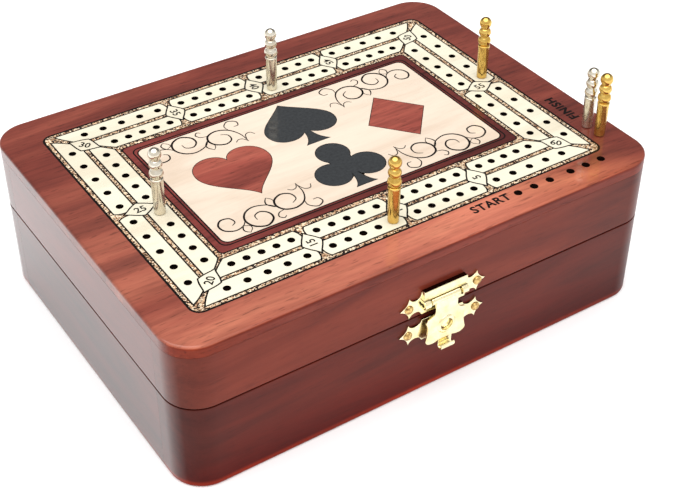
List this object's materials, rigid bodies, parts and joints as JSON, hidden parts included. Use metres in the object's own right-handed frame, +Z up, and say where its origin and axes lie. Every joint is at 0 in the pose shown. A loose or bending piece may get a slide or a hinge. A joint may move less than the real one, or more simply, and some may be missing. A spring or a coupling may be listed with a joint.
{
  "type": "cribbage board",
  "caption": "Hinged wooden box whose lid is a cribbage track board with turned metal pegs and a brass front clasp; the base holds cards and pegs.",
  "frame": {"origin": "centre of the flat underside, on the surface that the closed box stands on", "axes": "+X along the length to the right as seen from the clasp side, +Y from the clasp side to the hinge side, +Z up through the playing face"},
  "size_m": [0.206, 0.1624, 0.0919],
  "materials": {
    "redwood": "gloss lacquered dark red hardwood",
    "floor_wood": "satin dark red hardwood panel",
    "maple": "gloss lacquered pale maple",
    "black_inlay": "dyed black veneer under lacquer",
    "red_inlay": "red hardwood veneer under lacquer",
    "felt": "short green felt",
    "clasp_brass": "bright stamped brass",
    "hinge_brass": "bright rolled brass",
    "peg_silver": "polished nickel plate",
    "peg_gold": "polished gold plate"
  },
  "bodies": {
    "base": {"base_front_wall": "redwood", "base_back_wall": "redwood", "base_left_wall": "redwood", "base_right_wall": "redwood", "base_floor": "floor_wood", "well_lining": "felt", "divider_left": "redwood", "divider_right": "redwood", "hinge_base_leaf_left": "hinge_brass", "hinge_base_leaf_right": "hinge_brass", "hinge_pin_left": "hinge_brass", "hinge_pin_right": "hinge_brass", "hinge_base_screw_left_outer": "hinge_brass", "hinge_base_screw_left_inner": "hinge_brass", "hinge_base_screw_right_outer": "hinge_brass", "hinge_base_screw_right_inner": "hinge_brass", "clasp_catch_plate": "clasp_brass", "clasp_base_nail_left": "clasp_brass", "clasp_base_nail_right": "clasp_brass"},
    "lid": {"lid_front_wall": "redwood", "lid_back_wall": "redwood", "lid_left_wall": "redwood", "lid_right_wall": "redwood", "deck_board": "redwood", "track_inlay": "maple", "centre_panel": "maple", "suit_spade": "black_inlay", "suit_heart": "red_inlay", "suit_diamond": "red_inlay", "suit_club": "black_inlay", "hinge_lid_leaf_left": "hinge_brass", "hinge_lid_leaf_right": "hinge_brass", "hinge_lid_screw_left_outer": "hinge_brass", "hinge_lid_screw_left_inner": "hinge_brass", "hinge_lid_screw_right_outer": "hinge_brass", "hinge_lid_screw_right_inner": "hinge_brass", "clasp_lid_plate": "clasp_brass", "clasp_lid_nail_left": "clasp_brass", "clasp_lid_nail_right": "clasp_brass"},
    "clasp_tongue": {"clasp_tongue": "clasp_brass"},
    "peg_silver_left": {"peg_silver_left": "peg_silver"},
    "peg_silver_back": {"peg_silver_back": "peg_silver"},
    "peg_silver_finish": {"peg_silver_finish": "peg_silver"},
    "peg_gold_front": {"peg_gold_front": "peg_gold"},
    "peg_gold_right": {"peg_gold_right": "peg_gold"},
    "peg_gold_finish": {"peg_gold_finish": "peg_gold"}
  },
  "joints": [
    {"name": "lid_hinge", "type": "hinge", "parent": "base", "child": "lid", "pos_m": [0, 0.07855, 0.0371], "axis": [-1, 0, 0], "range_deg": [0, 100]},
    {"name": "clasp_swing", "type": "hinge", "parent": "lid", "child": "clasp_tongue", "pos_m": [0.0018, -0.07785, 0.0426], "axis": [-1, 0, 0], "range_deg": [0, 110]},
    {"name": "peg_silver_left_pull", "type": "slide", "parent": "lid", "child": "peg_silver_left", "axis": [0, 0, 1], "range_m": [0, 0.02]},
    {"name": "peg_silver_back_pull", "type": "slide", "parent": "lid", "child": "peg_silver_back", "axis": [0, 0, 1], "range_m": [0, 0.02]},
    {"name": "peg_silver_finish_pull", "type": "slide", "parent": "lid", "child": "peg_silver_finish", "axis": [0, 0, 1], "range_m": [0, 0.02]},
    {"name": "peg_gold_front_pull", "type": "slide", "parent": "lid", "child": "peg_gold_front", "axis": [0, 0, 1], "range_m": [0, 0.02]},
    {"name": "peg_gold_right_pull", "type": "slide", "parent": "lid", "child": "peg_gold_right", "axis": [0, 0, 1], "range_m": [0, 0.02]},
    {"name": "peg_gold_finish_pull", "type": "slide", "parent": "lid", "child": "peg_gold_finish", "axis": [0, 0, 1], "range_m": [0, 0.02]}
  ]
}
